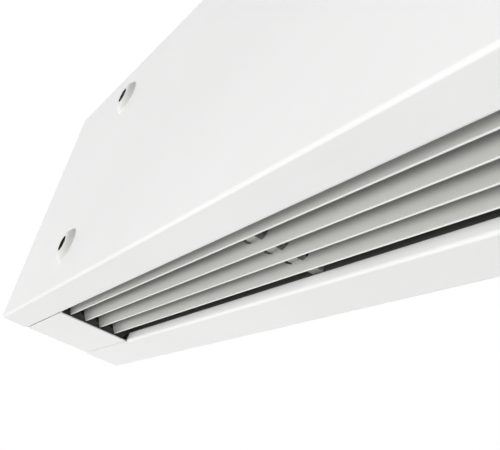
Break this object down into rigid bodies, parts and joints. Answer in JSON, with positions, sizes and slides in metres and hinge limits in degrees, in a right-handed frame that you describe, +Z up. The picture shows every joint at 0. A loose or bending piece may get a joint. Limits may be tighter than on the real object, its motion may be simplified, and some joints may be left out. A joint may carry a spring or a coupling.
{
  "type": "air curtain",
  "caption": "Wall-hung air curtain: a long white sheet metal casing with a louvred outlet slot in its underside and twin centrifugal fans behind an intake grille.",
  "frame": {"origin": "bottom centre of the whole unit's bounding box, under the middle of the underside", "axes": "+Z up as hung over a doorway, +X along the unit, +Y from the mounting side with the four bosses to the removable cover with the intake grille"},
  "size_m": [1.026, 0.1646, 0.3038],
  "materials": {
    "white_paint": "satin white powder coat with a faint orange peel",
    "dark_paint": "matt dark grey",
    "blade_metal": "satin, slightly greenish grey",
    "black_plastic": "matt",
    "zinc": "galvanised, with a soft spangle",
    "motor_metal": "cast, matt",
    "steel": "bright zinc plated",
    "pale_plastic": "matt moulded",
    "white_plastic": "matt moulded"
  },
  "bodies": {
    "casing": {"rear_casing": "white_paint", "front_cover": "white_paint", "intake_grille": "white_paint", "end_panel_left": "white_paint", "end_panel_right": "white_paint", "duct_wall_rear": "dark_paint", "duct_wall_front": "dark_paint", "duct_end_left": "dark_paint", "duct_end_right": "dark_paint", "tie_bar": "blade_metal", "pivot_strip_left": "black_plastic", "pivot_strip_right": "black_plastic", "cable_glands": "black_plastic", "fan_deck": "zinc", "fan_housing_left": "zinc", "fan_housing_right": "zinc", "inlet_rings": "zinc", "motor_cradle": "zinc", "motor_straps": "zinc", "capacitor_clip": "zinc", "boss_backing_plates": "zinc", "motor": "motor_metal", "motor_bearings": "steel", "pivot_strip_screws": "steel", "hanging_inserts": "steel", "cover_screws": "steel", "deck_screws": "steel", "capacitor": "pale_plastic", "terminal_box": "pale_plastic", "terminal_lid": "pale_plastic", "terminal_block": "white_plastic"},
    "rotor": {"motor_shaft": "steel", "fan_wheel_left": "zinc", "fan_wheel_right": "zinc"},
    "blade_1": {"blade_1": "blade_metal", "blade_caps_1": "black_plastic"},
    "blade_2": {"blade_2": "blade_metal", "blade_caps_2": "black_plastic"},
    "blade_3": {"blade_3": "blade_metal", "blade_caps_3": "black_plastic"},
    "blade_4": {"blade_4": "blade_metal", "blade_caps_4": "black_plastic"}
  },
  "joints": [
    {"name": "fan_spin", "type": "hinge", "parent": "casing", "child": "rotor", "pos_m": [0, 0.0053, 0.2052], "axis": [1, 0, 0], "continuous": true},
    {"name": "blade_1_tilt", "type": "hinge", "parent": "casing", "child": "blade_1", "pos_m": [0, -0.03717, 0.01693], "axis": [1, 0, 0], "range_deg": [-41, 4]},
    {"name": "blade_2_tilt", "type": "hinge", "parent": "casing", "child": "blade_2", "pos_m": [0, -0.01917, 0.01693], "axis": [1, 0, 0], "range_deg": [-41, 4]},
    {"name": "blade_3_tilt", "type": "hinge", "parent": "casing", "child": "blade_3", "pos_m": [0, -0.00117, 0.01693], "axis": [1, 0, 0], "range_deg": [-41, 4]},
    {"name": "blade_4_tilt", "type": "hinge", "parent": "casing", "child": "blade_4", "pos_m": [0, 0.01683, 0.01693], "axis": [1, 0, 0], "range_deg": [-41, 4]}
  ]
}
